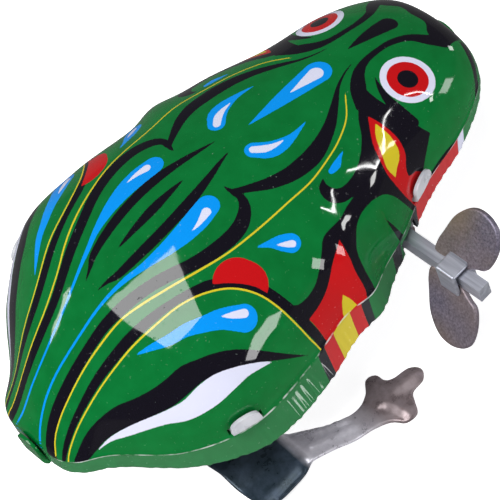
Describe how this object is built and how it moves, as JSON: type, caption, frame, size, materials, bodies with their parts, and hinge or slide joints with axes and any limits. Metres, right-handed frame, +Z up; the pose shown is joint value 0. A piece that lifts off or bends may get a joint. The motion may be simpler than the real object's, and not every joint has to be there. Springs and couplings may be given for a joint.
{
  "type": "wind-up jumping frog",
  "caption": "Pressed tin frog with a spring-driven movement, a winding key on its right side and kicking hind legs.",
  "frame": {"origin": "on the ground, under the middle of the object's bounding box", "axes": "+Z up, +Y towards the tail, so the frog faces -Y; its right side, where the key is, is -X"},
  "size_m": [0.0584, 0.0776, 0.0329],
  "materials": {
    "printed_tin": "glossy lithographed tin, green with black, blue, red, yellow and white",
    "belly_tin": "plain tin under clear lacquer",
    "white_tin": "white-lacquered tin with bare cut edges",
    "plate_steel": "plain rolled steel",
    "shaft_steel": "bright plated steel",
    "key_steel": "dark tumbled steel with a fine grain",
    "leg_steel": "bare polished steel, slightly tinted",
    "spring_steel": "blued spring steel",
    "brass": "satin stamped brass"
  },
  "bodies": {
    "frog_body": {"upper_shell": "printed_tin", "belly_plate": "belly_tin", "tab_mouth_right": "white_tin", "tab_mouth_left": "white_tin", "tab_hind_right": "white_tin", "tab_hind_left": "white_tin", "tab_tail": "printed_tin", "tab_nose": "printed_tin", "movement_plate_right": "plate_steel", "movement_plate_left": "plate_steel", "pillar_front": "plate_steel", "pillar_top": "plate_steel", "pillar_rear": "plate_steel", "mainspring": "spring_steel", "leg_return_spring": "spring_steel", "front_leg_left": "leg_steel", "front_leg_right": "leg_steel"},
    "great_wheel_body": {"great_wheel": "brass"},
    "click_body": {"click": "shaft_steel"},
    "key": {"winding_arbor": "shaft_steel", "key_wings": "key_steel", "ratchet_wheel": "shaft_steel"},
    "second_train": {"second_arbor": "shaft_steel", "second_wheel": "brass"},
    "crank": {"crank_arbor": "shaft_steel", "crank_disc": "brass"},
    "hind_legs": {"leg_shaft": "shaft_steel", "leg_rocker": "plate_steel", "hind_leg_left": "leg_steel", "hind_leg_right": "leg_steel"},
    "link": {"push_link": "plate_steel"}
  },
  "joints": [
    {"name": "train_run", "type": "hinge", "parent": "frog_body", "child": "great_wheel_body", "pos_m": [0.00105, -0.013, 0.013], "axis": [1, 0, 0], "continuous": true},
    {"name": "key_wind", "type": "hinge", "parent": "great_wheel_body", "child": "key", "pos_m": [0.00105, -0.013, 0.013], "axis": [1, 0, 0], "continuous": true},
    {"name": "click_lift", "type": "hinge", "parent": "great_wheel_body", "child": "click_body", "pos_m": [0.00105, -0.0098, 0.0164], "axis": [1, 0, 0], "range_deg": [-12, 0], "stiffness_Nm_per_rad": 0.00001, "springref_deg": 11.46},
    {"name": "second_spin", "type": "hinge", "parent": "frog_body", "child": "second_train", "pos_m": [0.00105, -0.00607, 0.017], "axis": [1, 0, 0], "continuous": true},
    {"name": "crank_spin", "type": "hinge", "parent": "frog_body", "child": "crank", "pos_m": [0.00105, 0.00193, 0.017], "axis": [1, 0, 0], "continuous": true},
    {"name": "hind_leg_kick", "type": "hinge", "parent": "frog_body", "child": "hind_legs", "pos_m": [0.00105, 0.02, 0.0115], "axis": [1, 0, 0], "range_deg": [0, 35], "stiffness_Nm_per_rad": 0.005, "springref_deg": -17.19},
    {"name": "link_swing", "type": "hinge", "parent": "hind_legs", "child": "link", "pos_m": [0.00105, 0.018, 0.0195], "axis": [1, 0, 0], "range_deg": [-46, 0]}
  ],
  "couplings": [
    {"joint": "second_spin", "follows": "train_run", "ratio": -3},
    {"joint": "crank_spin", "follows": "train_run", "ratio": 9},
    {"joint": "link_swing", "follows": "hind_leg_kick", "ratio": -1.3}
  ]
}
